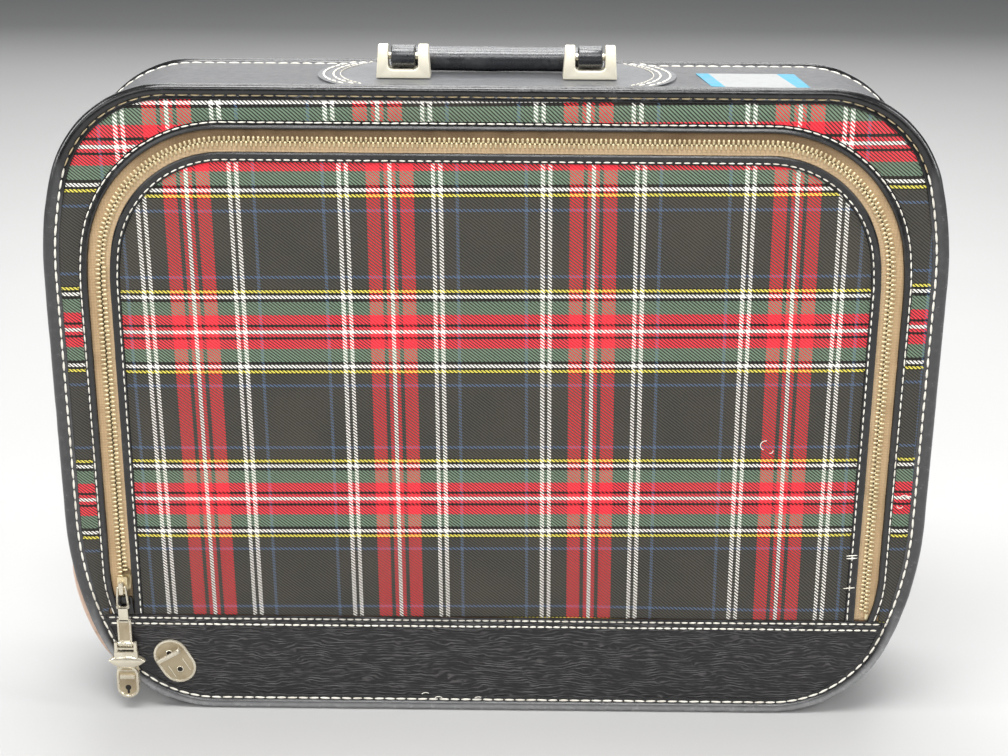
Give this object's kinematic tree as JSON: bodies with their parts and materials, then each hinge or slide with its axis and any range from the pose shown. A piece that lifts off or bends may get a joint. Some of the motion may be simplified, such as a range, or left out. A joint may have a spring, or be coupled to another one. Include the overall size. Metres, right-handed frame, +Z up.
{
  "type": "zip suitcase",
  "caption": "Tartan cloth and black vinyl zip suitcase standing on its side, with a fold-down front flap, piped edges, swing handle and a hanging slider lock.",
  "frame": {"origin": "middle of the footprint, on the surface that the case stands on", "axes": "+X along the case to the right seen from the front, +Y to the back, +Z up"},
  "size_m": [0.456, 0.0929, 0.3599],
  "materials": {
    "board": "raw hardboard",
    "vinyl": "grained black vinyl, satin",
    "piping_vinyl": "smooth black vinyl, semi-gloss",
    "tartan": "twill-woven tartan cloth",
    "lining": "plain woven cotton",
    "zip_tape": "woven tan cotton tape",
    "brass": "dulled brass",
    "cream_cast": "aged cream-silver casting, satin",
    "nickel": "aged nickel plate, satin",
    "steel": "plain steel strip",
    "handle_vinyl": "smooth padded black vinyl, semi-gloss"
  },
  "bodies": {
    "case": {"gusset_board": "board", "gusset_cover": "vinyl", "gusset_lining": "lining", "back_board": "board", "back_cover": "tartan", "back_lining": "lining", "front_frame": "board", "front_border": "tartan", "front_strip": "vinyl", "front_piping": "piping_vinyl", "back_piping": "piping_vinyl", "zip_tape_outer": "zip_tape", "zip_teeth_outer": "brass", "zip_binding_outer": "piping_vinyl", "zip_end_stops": "brass", "fold_tape": "zip_tape", "handle_patch": "vinyl", "handle_backplate": "steel", "handle_bracket_left": "cream_cast", "handle_bracket_right": "cream_cast", "handle_pin_left": "nickel", "handle_pin_right": "nickel", "bracket_rivets": "nickel", "catch_plate": "nickel", "catch_staple": "nickel", "catch_rivets": "nickel"},
    "flap": {"flap_board": "board", "flap_cover": "tartan", "flap_lining": "lining", "zip_tape_inner": "zip_tape", "zip_teeth_inner": "brass", "zip_binding_inner": "piping_vinyl"},
    "handle": {"handle_grip": "handle_vinyl", "handle_core": "steel"},
    "slider": {"zip_slider": "brass"},
    "pull": {"pull_link": "nickel"},
    "lock": {"lock_case": "nickel", "lock_back": "nickel"},
    "catch": {"lock_catch": "brass"}
  },
  "joints": [
    {"name": "flap_fold", "type": "hinge", "parent": "case", "child": "flap", "pos_m": [0, -0.0435, 0.0565], "axis": [1, 0, 0], "range_deg": [0, 100]},
    {"name": "handle_swing", "type": "hinge", "parent": "case", "child": "handle", "pos_m": [0, -0.0145, 0.354], "axis": [1, 0, 0], "range_deg": [0, 198]},
    {"name": "slider_slide", "type": "slide", "parent": "case", "child": "slider", "axis": [0, 0, 1], "range_m": [0, 0.16]},
    {"name": "pull_swing", "type": "hinge", "parent": "slider", "child": "pull", "pos_m": [-0.1997, -0.046, 0.074], "axis": [-1, 0, 0], "range_deg": [0, 140]},
    {"name": "lock_swing", "type": "hinge", "parent": "pull", "child": "lock", "pos_m": [-0.1997, -0.046, 0.0405], "axis": [-1, 0, 0], "range_deg": [0, 60]},
    {"name": "catch_push", "type": "slide", "parent": "lock", "child": "catch", "axis": [0, 1, 0], "range_m": [0, 0.0009], "stiffness_N_per_m": 150, "springref_m": -0.001}
  ]
}
